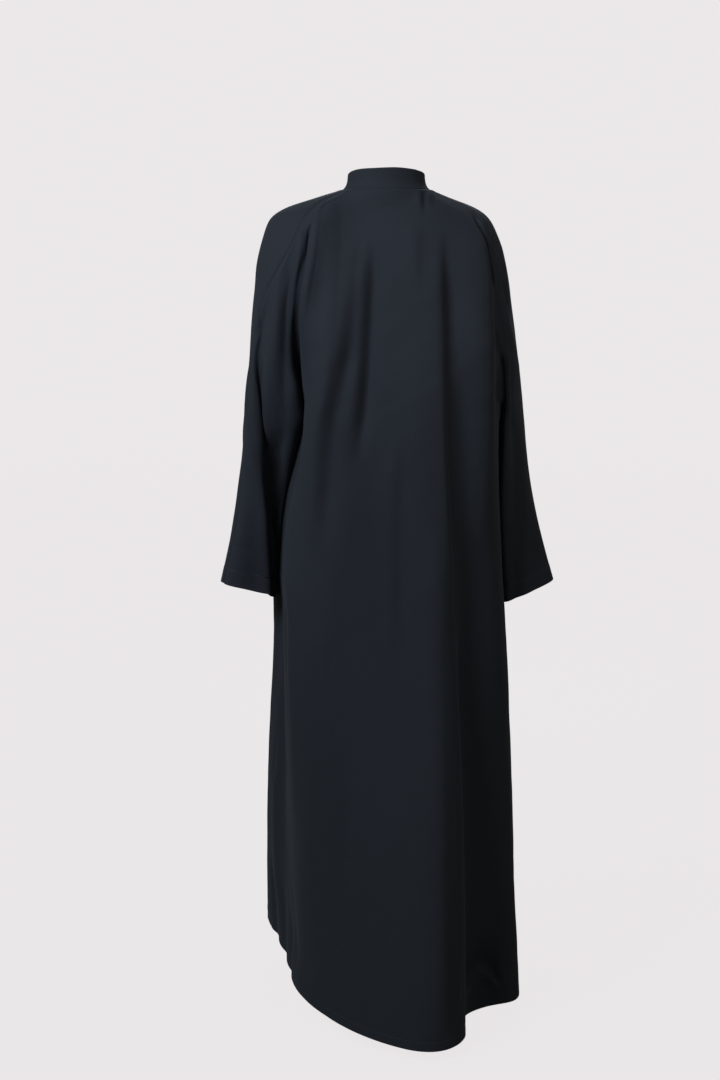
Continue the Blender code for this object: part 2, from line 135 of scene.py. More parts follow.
# lines down the body, with x and y at hip and knee too, and the hem's x, y, z
backBody = (
    ("left side", 39, 52.5, 52.5, 12, -159, -70, -156, 0, -181, 3, -201.5, 30, -217, 60, -217, 100, -1385),
    ("left strip", 44, 56, 56.5, 3, -147, -96, -139, -64, -172, -50, -184, -36, -191, -14, -186, 0, -1410),
    ("ridge", 50, 60, 63, 0, -126, -117, -136, -108, -162, -103, -176, -117, -167, -115, -162, -108, -1433),
    ("blade", 64, 70, 72, 0, -80, -131, -90, -138, -105, -145, -110, -162, -100, -185, -106, -205, -1447),
    ("centre", 90, 90, 90, 0, 0, -137, 0, -145, 0, -155, 0, -180, 0, -235, 0, -320, -1452.5),
    ("train", 101, 104, 102, 0, 55, -138, 60, -147, 65, -158, 75, -184, 85, -246, 90, -345, -1455),
    ("right fold", 112, 117, 112, 3, 100, -130, 102, -136, 108, -146, 117, -175, 127, -228, 128, -315, -1452),
    ("right tuck", 122, 128, 126, 0, 144, -124, 146, -132, 146, -138, 132, -140, 138, -155, 140, -195, -1453),
    ("flank", 132, 138, 137, 0, 181, -107, 186, -108, 192, -105, 190, -105, 192, -106, 199, -140, -1451),
    ("edge", 139, 145, 142, 3, 197.5, -76, 200.5, -62, 202.5, -52, 217.5, -52, 230, -60, 229.5, -136, -1446),
    ("right side", 144, 150, 146, 9, 201, -73, 204, 0, 196, 0, 211, 0, 230.5, 0, 232.5, -35, -1431),
)
leftFrontBody = (
    ("left side", -34, -37, -46, 10, -170, 66, -156, 0, -181, 3, -201.5, 30, -217, 60, -217, 100, -1385),
    ("left corner", -42, -45, -54, 2, -155, 92, -157, 66, -192, 94, -201, 100, -214, 135, -226, 200, -1378),
    ("left flank", -52, -56, -63, 0, -128, 112, -138, 112, -158, 122, -165, 138, -172, 202, -188, 282, -1388),
    ("left front", -70, -72, -75, 0, -75, 126, -80, 130, -85, 126, -90, 144, -98, 205, -110, 287, -1400),
    ("left edge", -89.5, -89.5, -89.5, 0, -5, 128, -6, 137, -7, 139, -9, 160, -13, 228, -18, 322, -1410),
)
rightFrontBody = (
    ("right edge", 269.5, 269.5, 269.5, 0, 5, 128, 6, 137, 7, 139, 9, 160, 13, 228, 18, 322, -1410),
    ("right front", 250, 252, 255, 0, 80, 127, 85, 131, 88, 127, 88, 144, 94, 206, 102, 286, -1412),
    ("right flank", 232, 236, 243, 0, 136, 114, 150, 112, 152, 108, 162, 132, 186, 200, 196, 275, -1415),
    ("right corner", 222, 225, 234, 2, 168, 96, 186, 66, 182, 58, 196, 76, 219, 100, 230, 150, -1420),
    ("right side", 214, 216, 226, 10, 190, 70, 204, 0, 196, 0, 211, 0, 230.5, 0, 232.5, -35, -1431),
)


def splineMany(knots, values, samples):
    # natural cubic spline through many curves at once: the bends at the knots solve the
    # three-term system, and a value is the straight line between two knots plus bend terms
    step = np.diff(knots, axis=1)
    slope = np.diff(values, axis=1) / step[..., None]
    curves, count = knots.shape
    inner = np.arange(1, count - 1)
    system = np.zeros((curves, count, count))
    system[:, 0, 0] = 1.0
    system[:, -1, -1] = 1.0
    system[:, inner, inner - 1] = step[:, :-1]
    system[:, inner, inner] = 2.0 * (step[:, :-1] + step[:, 1:])
    system[:, inner, inner + 1] = step[:, 1:]
    right = np.zeros_like(values)
    right[:, 1:-1] = 6.0 * np.diff(slope, axis=1)
    bend = np.linalg.solve(system, right)
    span = (samples[:, :, None] >= knots[:, None, 1:-1]).sum(axis=2)
    row = np.arange(curves)[:, None]
    width = step[row, span][..., None]
    before = (samples - knots[row, span])[..., None]
    after = width - before
    line = (values[row, span] * after + values[row, span + 1] * before) / width
    low = bend[row, span] * (after**3 / width - width * after)
    high = bend[row, span + 1] * (before**3 / width - width * before)
    return line + (low + high) / 6.0


def runLengths(points):
    # running length along each curve's points
    steps = np.linalg.norm(np.diff(points, axis=1), axis=2)
    return np.concatenate((np.zeros((len(points), 1)), np.cumsum(steps, axis=1)), axis=1)


def spread(knots, first, counts, startSteps=(), endSteps=()):
    # places along each curve: every span in equal steps, and narrow steps near either end
    places = [knots[:, first : first + 1]]
    for k, steps in enumerate(counts):
        low = knots[:, first + k, None]
        high = knots[:, first + k + 1, None]
        places.append(low + (high - low) * np.arange(1, steps + 1) / steps)
    places = np.concatenate(places, axis=1)
    extra = [places[:, :1] + s for s in startSteps] + [places[:, -1:] - s for s in endSteps]
    return np.sort(np.concatenate([places] + extra, axis=1), axis=1)


def smooth(t):
    # 0 below 0, 1 above 1 and an S curve between
    t = np.clip(t, 0.0, 1.0)
    return t * t * (3.0 - 2.0 * t)


def shoulderAt(angle, z, pull):
    # superellipse ring at height z: x from cos to the power 2/p, y from sin to the power 2/p
    sizes = splineMany(shoulderRings[None, :, 0], shoulderRings[None, :, 1:], -z[None])[0]
    left, right, behind, front, power = sizes.T
    across = np.cos(np.radians(angle))
    along = np.sin(np.radians(angle))
    width = np.where(across < 0.0, right, left)
    depth = np.where(along > 0.0, behind, front) - pull
    x = -width * np.sign(across) * np.abs(across) ** (2.0 / power)
    y = -depth * np.sign(along) * np.abs(along) ** (2.0 / power)
    return np.stack((x, y, z), axis=1)


def neckAt(angle):
    # ellipse of the neckline, dropping toward the front
    across = math.cos(math.radians(angle))
    along = math.sin(math.radians(angle))
    width = neck["right"] if across < 0.0 else neck["left"]
    depth = neck["behind"] if along > 0.0 else neck["front"]
    drop = neck["frontDrop"] * max(-along, 0.0) ** neck["frontPower"] - neck["rise"]
    return np.array((-width * across, -depth * along, -drop))


def stations(row, levels):
    # one line's points: nine down the shoulder, then the x and y of each level, then the end
    neckAngle, shoulderAngle, bladeAngle, pull = row[1:5]
    top = neckAt(neckAngle)
    part = np.arange(domeRows + 1) / domeRows
    z = top[2] + (heights["blade"] - top[2]) * (1.0 - np.cos(0.5 * math.pi * part))
    angle = (
        neckAngle * (1.0 - part) * (1.0 - 2.0 * part)
        + shoulderAngle * 4.0 * part * (1.0 - part)
        + bladeAngle * part * (2.0 * part - 1.0)
    )
    dome = shoulderAt(angle, z, pull / 1000.0 * part**2)
    ring = shoulderAt(np.array([neckAngle]), top[2:], 0.0)[0]
    dome[:, :2] += (top - ring)[:2] * ((1.0 - part) ** 2)[:, None]
    values = np.array(row[5:]) / 1000.0
    lower = [(values[2 * k], values[2 * k + 1], heights[name]) for k, name in enumerate(levels)]
    return np.concatenate((dome, lower, [values[-3:]]))


bodyLevels = ("chest", "underarm", "elbow", "hip", "knee")
sleeveLevels = ("chest", "underarm", "elbow")


def rowsFor(table, levels):
    # how many rows each span needs for its length
    points = np.stack([stations(row, levels) for row in table])
    lengths = np.diff(runLengths(points), axis=1).mean(axis=0)
    return tuple(int(n) for n in np.ceil(lengths / cloth["rowCell"]))


backRows = rowsFor(backBody, bodyLevels)
upperRows = backRows[: domeRows + 2]
bodyRows = backRows[domeRows + 2 :]
sleeveRows = rowsFor(leftSleeveBack, sleeveLevels)[domeRows + 2 :]
upperCount = sum(upperRows)
splitStart = sum(upperRows[: domeRows + 1])


def hemSteps(hem):
    # rows at the folded edge and either side of the hem's stitch line
    ease = cloth["hemEase"]
    return cloth["seamSteps"] + (hem - ease, hem, hem + ease)


# the cloth that bridges the right sleeve and the body
bridge = {
    "rim": -0.068,  # y
    "middle": 0.2045,  # x
    "span": 0.011,
    "top": -0.275,
    "topEase": 0.030,
    "foot": -0.405,
    "footEase": 0.045,
    "frontEase": 0.004,
    "share": 0.92,
}


def bridged(places):
    # depth below the rim shrinks by a share, fading in below the top and out toward the foot
    x, y, z = np.moveaxis(places, -1, 0)
    ease = bridge["frontEase"]
    part = smooth((bridge["top"] - z) / bridge["topEase"]) * smooth((z - bridge["foot"]) / bridge["footEase"])
    near = np.exp(-(((x - bridge["middle"]) / bridge["span"]) ** 4)) * smooth((ease - y) / (2.0 * ease))
    deep = np.clip(y - bridge["rim"], 0.0, None)
    return bridge["share"] * part * near * deep


def guideLines(table, levels, lowerRows, hem):
    # every line of a table down all the rows; below the underarm a seam line follows its own
    # lower stations alone, so that both panels agree
    points = np.stack([stations(row, levels) for row in table])
    knots = runLengths(points)
    steps = hemSteps(hem)
    lines = splineMany(knots, points, spread(knots, 0, upperRows + lowerRows, (), steps))
    seam = [k for k, row in enumerate(table) if row[0] in ("underarm", "left side", "right side")]
    low = points[seam, domeRows + 2 :]
    lowKnots = runLengths(low)
    lines[seam, upperCount:] = splineMany(lowKnots, low, spread(lowKnots, 0, lowerRows, (), steps))
    lines[..., 1] -= bridged(lines)
    return lines


def bodyPart(table):
    # a table's lines down to the skirt's hem
    return guideLines(table, bodyLevels, bodyRows, cloth["skirtHem"])


def sleevePart(table):
    # a table's lines down to the cuff
    return guideLines(table, sleeveLevels, sleeveRows, cloth["cuffHem"])


# seven parts round the ring, from the left front edge by the left arm, the back and the right
# arm to the right front edge
leftChest, leftArmFront, leftArmBack, back, rightArmBack, rightArmFront, rightChest = range(7)
lines = (
    bodyPart(leftFrontBody[::-1]),
    sleevePart(leftSleeveFront[::-1]),
    sleevePart(leftSleeveBack),
    bodyPart(backBody),
    sleevePart(rightSleeveBack),
    sleevePart(rightSleeveFront[::-1]),
    bodyPart(rightFrontBody[::-1]),
)


def columnsFor(part):
    # how many columns each span needs for its mean width below the chest
    widths = np.linalg.norm(np.diff(part[:, splitStart:], axis=0), axis=2).mean(axis=1)
    return tuple(int(n) for n in np.ceil(widths / cloth["cell"]))


columns = tuple(columnsFor(part) for part in lines)


def ringRows(numbers, first, last, closed):
    # rows first to last of some parts, each drawn as one smooth curve and cut at the parts
    guides = np.concatenate([lines[n][(1 if k else 0) :, first:last] for k, n in enumerate(numbers)])
    guides = guides.transpose(1, 0, 2)
    lead = 0
    if closed:
        lead = 3
        guides = np.concatenate((guides[:, -1 - lead : -1], guides, guides[:, 1 : 1 + lead]), axis=1)
    knots = runLengths(guides)
    pieces = {}
    for n in numbers:
        steps = cloth["seamSteps"]
        pieces[n] = splineMany(knots, guides, spread(knots, lead, columns[n], steps, steps))
        lead += len(columns[n])
    return pieces


everyPart = tuple(range(7))
bodyRing = (leftChest, back, rightChest)
leftArm = (leftArmFront, leftArmBack)
rightArm = (rightArmBack, rightArmFront)
lowerRings = ((bodyRing, False), (leftArm, True), (rightArm, True))  # and whether each is closed

# above the underarm one curve runs all round; toward the underarm it parts into two closed
# sleeves and the body
whole = ringRows(everyPart, 0, upperCount + 1, False)
apart = {}
for group in ((leftChest,), leftArm, (back,), rightArm, (rightChest,)):
    apart.update(ringRows(group, 0, upperCount + 1, False))
ends = {}
for group, closed in lowerRings:
    ends.update(ringRows(group, upperCount, upperCount + 1, closed))
share = smooth((np.arange(upperCount + 1) - splitStart) / (upperCount - splitStart))[:, None, None]
upper = {}
for n in everyPart:
    apart[n] = apart[n] + ends[n] - apart[n][-1:]
    upper[n] = whole[n] * (1.0 - share) + apart[n] * share
lower = {}
for group, closed in lowerRings:
    lower.update(ringRows(group, upperCount + 1, lines[group[0]].shape[1], closed))
print("curves drawn:", upperCount, "upper rows")


def pathAt(points, where):
    # smooth line through the crease's points, given along one axis
    points = points[np.argsort(points[:, 0])]
    clipped = np.clip(where, points[0, 0], points[-1, 0])
    return splineMany(points[None, :, 0], points[None, :, 1:], clipped[None])[0, :, 0]


def pathAcross(crease, places):
    # distance from the crease's line and place along it: lines on the back and front are x
    # over z, lines on the sides are y over z, and level ones are z over x
    x, y, z = places.T
    first, second = crease["path"].T
    if crease["on"] == "level":
        return z - pathAt(crease["path"], x), x, first
    across = y if crease["on"] in ("left", "right") else x
    return across - pathAt(crease["path"][:, ::-1], z), z, second


facings = {
    "back": (0.0, -1.0),
    "level": (0.0, -1.0),
    "front": (0.0, 1.0),
    "left": (-1.0, 0.0),
    "right": (1.0, 0.0),
}
facingEase = 0.35  # creases fade out where the cloth turns away from their side


def pressed(places, normals, zones, creases):
    # sum of troughs and ridges: height times exp(-(distance / half width)^2), or for a drop from
    # the crease's low side to its high one -tanh(distance / half width) spreading out over its
    # two sides, fading in and out along the crease, where the cloth faces the crease's side
    total = np.zeros(len(places))
    for crease in creases.values():
        off, where, ends = pathAcross(crease, places)
        lowWidth, highWidth = crease["width"]
        t = np.where(off < 0.0, off / lowWidth, off / highWidth)
        form = np.exp(-t * t)
        if crease["drop"] is not None:
            lowSpread, highSpread = crease["drop"]
            form = -np.tanh(t) * np.exp(-((off / np.where(off < 0.0, lowSpread, highSpread)) ** 2))
        fadeHigh, fadeLow = crease["fade"]
        along = smooth((ends.max() - where) / fadeHigh) * smooth((where - ends.min()) / fadeLow)
        sideX, sideY = facings[crease["on"]]
        turned = smooth((normals[:, 0] * sideX + normals[:, 1] * sideY) / facingEase)
        if crease["part"] is not None:
            turned = turned * (zones == crease["part"])
        total += crease["height"] * form * along * turned
    return total


def fold(height, width, fade, *path, drop=None, part=None, on="back"):
    # a crease's values from millimetres: its height, half width on the low and the high side,
    # how far it fades in at its high and low ends, and its path; a drop also has how far it
    # spreads on either side
    sizes = {"path": path, "height": height, "width": width, "fade": fade, "drop": drop}
    sizes = {key: None if size is None else np.array(size) / 1000.0 for key, size in sizes.items()}
    return {**sizes, "part": part, "on": on}


backCreases = {
    # the long fold right of the middle: a drop of the cloth toward the right, and its foot
    "mainFold": fold(14, (9, 19), (150, 240), (102, -240), (102.8, -326), (103.5, -412), (107.3, -498),
        (113.8, -602), (119.5, -706), (125, -843), drop=(45, 60)),
    "mainFoldTop": fold(10, (9.5, 8.5), (140, 150), (102, -55), (101, -137), (102, -240), (102.8, -326),
        (104, -390), drop=(45, 30)),
    "mainFoldFoot": fold(-2.2, (6, 9), (60, 160), (103, -60), (102, -137), (103, -240), (104, -326),
        (105, -412), (108.8, -498), (114.8, -602), (120.5, -706)),
    "mainFoldShade": fold(5.2, (14, 16), (240, 200), (121, -300), (123, -412), (127, -498), (132, -602),
        (138, -706), (142, -840), drop=(35, 40)),
    "mainFoldRound": fold(7.8, (16, 17), (200, 160), (94, -480), (96, -602), (100, -700), (103, -843),
        (106, -979), (108, -1245), (109, -1500), drop=(45, 35)),
    "bladeFlat": fold(10.5, (30, 13), (60, 260), (150, -40), (164, -100), (172, -180), (175, -260),
        (176, -360), (176, -500), (172, -650)),
    "bladeFull": fold(12.5, (200, 130), (90, 90), (-165, -350), (0, -360), (185, -350), part=back,
        on="level"),
    # soft fold left of the middle
    "middleSoft": fold(13.2, (12, 10), (130, 140), (-29, -60), (-30, -154), (-34.5, -240), (-40, -326),
        (-50, -412), (-60, -490), drop=(45, 18)),
    "middleSoftFoot": fold(-1.6, (7, 8), (80, 100), (-30, -80), (-31.5, -154), (-36, -240), (-41.5, -326),
        (-51, -412)),
    "innerSoft": fold(10.6, (12.5, 11.5), (260, 140), (-48, -55), (-60, -154), (-68, -240), (-84, -326),
        (-102, -412), (-112, -498), (-116, -640), drop=(30, 26)),
    "shoulderSoft": fold(17.5, (12, 22), (50, 100), (-104, -15), (-112, -60), (-119, -110), (-127, -154),
        (-136, -210), (-142, -260), drop=(16, 55)),
    "bladeSoft": fold(20.5, (30, 42), (35, 220), (-80, 0), (-82, -100), (-85, -200), (-90, -340),
        (-100, -580), drop=(35, 110)),
    "yokeSoft": fold(2.2, (9, 9), (50, 70), (58, -40), (57, -110), (54, -200), drop=(25, 25)),
    "yokeSoftLeft": fold(-0.9, (8, 8), (30, 50), (-44, -60), (-52, -120), (-64, -190)),
    # folds running from the left shoulder down between the sleeve and the body
    "leftArmFold": fold(-7, (4.4, 3), (8, 90), (-132, -58), (-134.5, -85), (-135.5, -105), (-139, -125),
        (-145, -154), (-153, -195), (-158.5, -240), (-156.5, -285), (-152.5, -326), (-146, -362),
        (-141, -395)),
    "leftArmRidge": fold(6.2, (6.8, 5.6), (30, 60), (-147, -50), (-149, -85), (-153.5, -120), (-159, -154),
        (-166, -240), (-165.5, -326), (-162, -400)),
    "leftArmDip": fold(11.8, (8.5, 9.5), (100, 50), (-158, -70), (-170, -120), (-179, -165), (-184, -240),
        (-190, -326), (-195, -400), (-199, -470), drop=(18, 26)),
    "leftSleeveTurn": fold(8, (24, 22), (100, 1), (-243, -430), (-247, -520), (-252, -620), (-258, -740),
        drop=(50, 40), part=leftArmBack),
    "leftArmFill": fold(5, (14, 8), (50, 50), (-158, -300), (-156, -340), (-152, -400), (-158, -440),
        part=leftArmBack),
    "leftWelt": fold(1.6, (2.5, 2.5), (30, 30), (-212, -178), (-222.5, -250), (-228, -290)),
    "leftWedge": fold(-4, (5, 4), (50, 30), (-210.5, -180), (-218.5, -240), (-224.5, -290)),
    "leftUndercut": fold(-9.5, (3.6, 5), (50, 1), (-224, -195), (-226.2, -240), (-226.5, -300),
        (-224.5, -340), (-221.5, -390), (-219.5, -430), (-215, -473), (-210, -543), (-205, -633),
        (-202, -728), part=leftArmBack),
    "leftOverhang": fold(3.4, (12, 6), (70, 1), (-230, -400), (-227, -473), (-220, -543), (-214, -633),
        (-211, -735), part=leftArmBack),
    "leftUnderShade": fold(-12.5, (12, 14), (50, 250), (-197, -410), (-198, -473), (-199, -543),
        (-198.5, -633), (-198.5, -735), part=leftArmBack),
    "leftUnderFall": fold(9.5, (12, 11), (100, 1), (-200, -500), (-200.5, -543), (-201, -633), (-201, -735),
        drop=(20, 20), part=leftArmBack),
    "leftCuffTuck": fold(-0.7, (6, 6), (20, 20), (-290, -630), (-250, -634), (-215, -646), part=leftArmBack,
        on="level"),
    "leftElbowTuck": fold(-1, (4, 6), (15, 20), (-262, -472), (-225, -468), part=leftArmBack, on="level"),
    "leftElbowFull": fold(9, (110, 85), (15, 20), (-275, -385), (-190, -385), part=leftArmBack, on="level"),
    # folds from the right shoulder
    "rightArmFold": fold(-6.8, (5, 2.8), (30, 22), (152, -30), (164.5, -62), (174, -88), (179.5, -112),
        (184, -140), (187, -172)),
    "rightArmLip": fold(1, (4, 4), (30, 50), (176, -50), (186, -85), (193, -110), (198, -150), (204, -220)),
    "rightArmStrip": fold(-2.2, (2.2, 2.4), (30, 30), (189, -85), (193.5, -110), (199, -150), (203, -190)),
    "rightShoulderFull": fold(-4.5, (6, 6), (50, 80), (190, -50), (196.5, -90), (200.5, -130), (204, -180),
        (207, -250), drop=(16, 12)),
    "rightFlankDrop": fold(-1.4, (7, 5), (60, 40), (187, -190), (190, -240), (191, -326), (192, -400)),
    "rightSleeveRidge": fold(2.2, (4, 3), (50, 40), (212, -235), (215, -300), (217.5, -360), (220, -420)),
    "rightSleeveDark": fold(-2.6, (2.8, 3.6), (30, 40), (219.5, -290), (221.5, -330), (225, -404),
        (232, -450), part=rightArmBack),
    "rightSleeveSoft": fold(-3, (9, 7), (50, 1), (231, -390), (234, -532), (237, -735), part=rightArmBack),
    "rightSleeveLit": fold(2.4, (8, 10), (50, 1), (246, -420), (251, -532), (256, -735), part=rightArmBack),
    # the skirt
    "leftRidge": fold(-6, (14, 30), (100, 60), (-183, -680), (-188, -843), (-187.5, -979), (-184.5, -1112),
        (-180, -1245), (-174, -1330), (-165, -1425)),
    "leftRidgeFoot": fold(-6, (13, 6), (80, 100), (-183, -680), (-189, -843), (-187, -979), (-183.5, -1112),
        (-179, -1245), (-173, -1330), (-165, -1425)),
    "leftEdgeFold": fold(-3.5, (2.2, 2.2), (50, 40), (-201, -970), (-204.5, -1030), (-207, -1090)),
    "leftHemWave": fold(-6, (16, 14), (120, 1), (62, -1200), (70, -1480), on="left"),
    "leftHemWaveMiddle": fold(-5, (13, 15), (80, 1), (6, -1240), (8, -1480), on="left"),
    "leftHemWaveBack": fold(-4, (12, 14), (70, 1), (-50, -1280), (-52, -1480), on="left"),
    "leftRidgeInner": fold(2.6, (6, 11), (100, 200), (-173.5, -640), (-175, -843), (-172, -1000),
        (-168, -1200)),
    "lowCrease": fold(-1.4, (2.6, 2.2), (50, 90), (-102, -760), (-97, -843), (-89, -960), (-85, -1010)),
    "lowCreaseLip": fold(0.8, (4, 3), (50, 90), (-107, -760), (-102, -843), (-94, -960), (-90, -1010)),
    "waistSoft": fold(2.6, (10, 9), (100, 180), (21, -400), (20, -498), (17, -602), (17, -706), (20, -860),
        drop=(28, 20)),
    "lowSoftLeft": fold(2, (14, 14), (160, 180), (-92, -640), (-86, -843), (-82, -1112), (-80, -1300),
        drop=(40, 40)),
    "hemSlant": fold(2.4, (5, 4.5), (30, 30), (-112, -1280), (-98.5, -1310), (-80, -1345), (-58, -1385)),
    "hemSlantLow": fold(-1.8, (5, 5), (30, 30), (-122, -1300), (-110, -1330), (-92, -1362)),
    "hemPeak": fold(9.5, (7.5, 4), (20, 12), (130, -1396), (148, -1391), (160, -1385), (171, -1380),
        (190, -1396), (212, -1424), drop=(16, 40), on="level"),
    # small pleats at the neck
    "neckPleat": fold(4, (2.4, 2.2), (6, 34), (61, 4), (62, -12), (62.5, -46), drop=(12, 10)),
    "neckPleatOuter": fold(2.6, (2.6, 2.6), (6, 20), (81.5, 0), (80, -20), (79.5, -34), drop=(10, 10)),
    "neckLeftLip": fold(1.2, (2.2, 2.2), (10, 6), (-74, 1.5), (-62, -1), (-46, 0.5), on="level"),
}

frontCreases = {
    "leftHang": fold(-4.5, (15, 12), (120, 200), (-86, -170), (-92, -400), (-100, -760), on="front"),
    "leftHangLip": fold(2.8, (13, 11), (120, 160), (-62, -230), (-66, -460), (-70, -690), on="front"),
    "leftSkirt": fold(-6, (18, 14), (200, 1), (-140, -700), (-148, -1000), (-160, -1388), on="front"),
    "leftSkirtInner": fold(-4.8, (13, 16), (180, 1), (-56, -900), (-60, -1150), (-64, -1405), on="front"),
    "leftArmFront": fold(-5.5, (10, 9), (50, 60), (-134, -70), (-143, -150), (-152, -250), (-158, -380),
        on="front"),
    "leftSleeveFront": fold(-3.5, (9, 7), (70, 1), (-236, -290), (-240, -450), (-252, -705), on="front"),
    "rightHang": fold(-4, (12, 15), (100, 180), (80, -190), (84, -380), (80, -640), on="front"),
    "rightHangLip": fold(2.6, (12, 13), (100, 140), (110, -210), (114, -430), (112, -600), on="front"),
    "rightSkirt": fold(-6.5, (14, 18), (180, 1), (128, -620), (138, -950), (150, -1410), on="front"),
    "rightSkirtInner": fold(-4.2, (16, 12), (160, 1), (50, -820), (56, -1100), (58, -1410), on="front"),
    "rightArmFront": fold(-5.5, (9, 10), (50, 60), (138, -75), (152, -160), (170, -260), (180, -380),
        on="front"),
    "rightSleeveFront": fold(-3.2, (7, 9), (70, 1), (240, -310), (250, -480), (268, -700), on="front"),
    "leftSide": fold(-4, (14, 12), (140, 1), (60, -760), (110, -1050), (160, -1380), on="left"),
    "leftSideBehind": fold(2.6, (14, 12), (140, 80), (-30, -640), (5, -900), (45, -1340), on="left"),
    "rightSide": fold(-4.5, (13, 16), (160, 1), (30, -700), (40, -1000), (60, -1425), on="right"),
    "rightSideBehind": fold(-2.8, (12, 12), (140, 1), (-30, -560), (-38, -900), (-75, -1430), on="right"),
}
creases = {**backCreases, **frontCreases}

ripples = {
    "height": 0.0007,
    "across": (21.0, 34.0, 47.0),  # waves in three metres, round the body
    "down": (2.3, 4.1, 6.7),  # waves a metre, down the cloth
    "shift": (0.4, 1.9, 4.2),
    "lean": 1.5,
}


def rippled(across, down):
    # small unevenness: three crossed sine waves of unlike lengths, each leaning to and fro
    total = np.zeros(across.shape)
    for a, d, s in zip(ripples["across"], ripples["down"], ripples["shift"]):
        lean = ripples["lean"] * np.sin(2.0 * math.pi * (d * down + s))
        total += np.sin(2.0 * math.pi * a * across / 3.0 + lean) * np.sin(2.0 * math.pi * d * down + s)
    return total * ripples["height"] / 3.0


def unit(vectors):
    # vectors over their lengths
    return vectors / np.maximum(np.linalg.norm(vectors, axis=-1, keepdims=True), 1e-12)


def quads(grid):
    # a face between every four neighbours, rows going down, seen from outside
    return np.stack((grid[:-1, :-1], grid[1:, :-1], grid[1:, 1:], grid[:-1, 1:]), axis=-1).reshape(-1, 4)


def diagonalCross(points, faces):
    # cross product of each face's diagonals: its direction, and twice its area
    corners = points[faces]
    return np.cross(corners[:, 2] - corners[:, 0], corners[:, 3] - corners[:, 1])


def normalsOf(points, faces):
    # mean of the directions of the faces round each vertex
    across = diagonalCross(points, faces)
    normals = np.zeros_like(points)
    for k in range(faces.shape[1]):
        np.add.at(normals, faces[:, k], across)
    return unit(normals)


def lappedEnds(block):
    # both end columns moved out over the seam, along each row
    block = block.copy()
    first = block[:, 0] - unit(block[:, 1] - block[:, 0]) * cloth["seamLap"]
    block[:, -1] -= unit(block[:, -2] - block[:, -1]) * cloth["seamLap"]
    block[:, 0] = first
    return block


def columnRuns(block):
    # running length down every column
    return runLengths(block.transpose(1, 0, 2)).T


farAway = 0.2


def panelGrids(parts, crotchShift):
    # a panel as one block above the underarm and one hanging block for every part below it;
    # each vertex has its place, part, length across and down, and distance from a seam,
    # from the neck seam, from the folded hem and from the front edge
    top = np.concatenate([upper[n][:, (1 if k else 0) :] for k, n in enumerate(parts)], axis=1)
    top = lappedEnds(top)
    top[0] -= unit(top[1] - top[0]) * cloth["seamLap"]
    rows, count = top.shape[:2]
    widths = [upper[n].shape[1] - 1 for n in parts]
    starts = np.concatenate(([0], np.cumsum(widths)))
    zone = np.append(np.repeat(parts, widths), parts[-1])
    frontFirst = parts[0] == leftChest
    frontLast = parts[-1] == rightChest

    def sheetValues(block, zones, down, hem, openFirst, openLast, neckSeam):
        # the values of one block's vertices, one row each
        across = runLengths(block)
        fromFirst = across
        fromLast = across[:, -1:] - across
        away = np.full(across.shape, farAway)
        seam = np.minimum(away if openFirst else fromFirst, away if openLast else fromLast)
        edge = np.minimum(fromFirst if openFirst else away, fromLast if openLast else away)
        layers = [np.broadcast_to(x, across.shape) for x in (across, down, seam, neckSeam, hem, edge)]
        values = np.stack(layers, axis=-1)
        return block.reshape(-1, 3), np.broadcast_to(zones, across.shape).reshape(-1), values.reshape(-1, 6)

    down = columnRuns(top)
    far = np.full(top.shape[:2], farAway)
    places, zones, values = ([x] for x in sheetValues(top, zone, down, far, frontFirst, frontLast, down))
    indices = np.arange(rows * count).reshape(rows, count)
    faces = [quads(indices)]
    crotches = [indices[-1, s] for s in starts[1:-1]]
    made = rows * count
    for k, n in enumerate(parts):
        low = lappedEnds(lower[n])
        span = slice(starts[k], starts[k + 1] + 1)
        joined = np.concatenate((top[-1:, span], low))
        run = down[-1:, span] + columnRuns(joined)
        hem = np.minimum(run[-1:] - run, farAway)
        openFirst = n == leftChest
        openLast = n == rightChest
        own = sheetValues(joined, np.full(joined.shape[1], n), run, hem, openFirst, openLast, far[:1, :1])
        size = joined.shape[1]
        for store, new in zip((places, zones, values), own):
            store.append(new[size:])
        grid = np.arange(made, made + low.shape[0] * size).reshape(low.shape[0], size)
        made += grid.size
        faces.append(quads(np.concatenate((indices[-1:, span], grid))))
    places, zones, values = (np.concatenate(x) for x in (places, zones, values))
    places[crotches, 1] += crotchShift
    return places, zones, values, np.concatenate(faces), indices[0]


onBody = np.isin(everyPart, bodyRing)
hemWidths = np.where(onBody, cloth["skirtHem"], cloth["cuffHem"])
hemRises = np.where(onBody, cloth["skirtRise"], cloth["cuffRise"])


def stepDown(distance, width, ease):
    # 1 up to the width and 0 past it, over twice the ease
    return 1.0 - smooth((distance - width + ease) / (2.0 * ease))


def bell(distance, width):
    # exp(-(distance / width)^2)
    return np.exp(-((distance / width) ** 2))


def pressedIn(places, normals, zones, values):
    # how far each vertex moves out: creases and ripples, fading out toward the seams, the
    # groove of the seams, the doubled hems, the turn at the neck and the dip of the stitches
    across, down, seam, neckSeam, hem, edge = values.T
    calm = smooth(seam / cloth["seamCalm"])
    moved = pressed(places, normals, zones, creases) * calm
    moved += rippled(across, down) * calm * smooth(neckSeam / cloth["neckCalm"])
    moved -= cloth["seamDepth"] * bell(np.minimum(seam, neckSeam), cloth["seamWidth"])
    width, rise = hemWidths[zones], hemRises[zones]
    moved += rise * stepDown(hem, width, cloth["hemEase"])
    moved += rise * stepDown(edge, cloth["frontHem"], cloth["frontEase"])
    moved += cloth["neckTurn"] * bell(neckSeam, cloth["neckTurnWidth"])
    return moved - rise * bell(hem - width, cloth["stitchDip"])


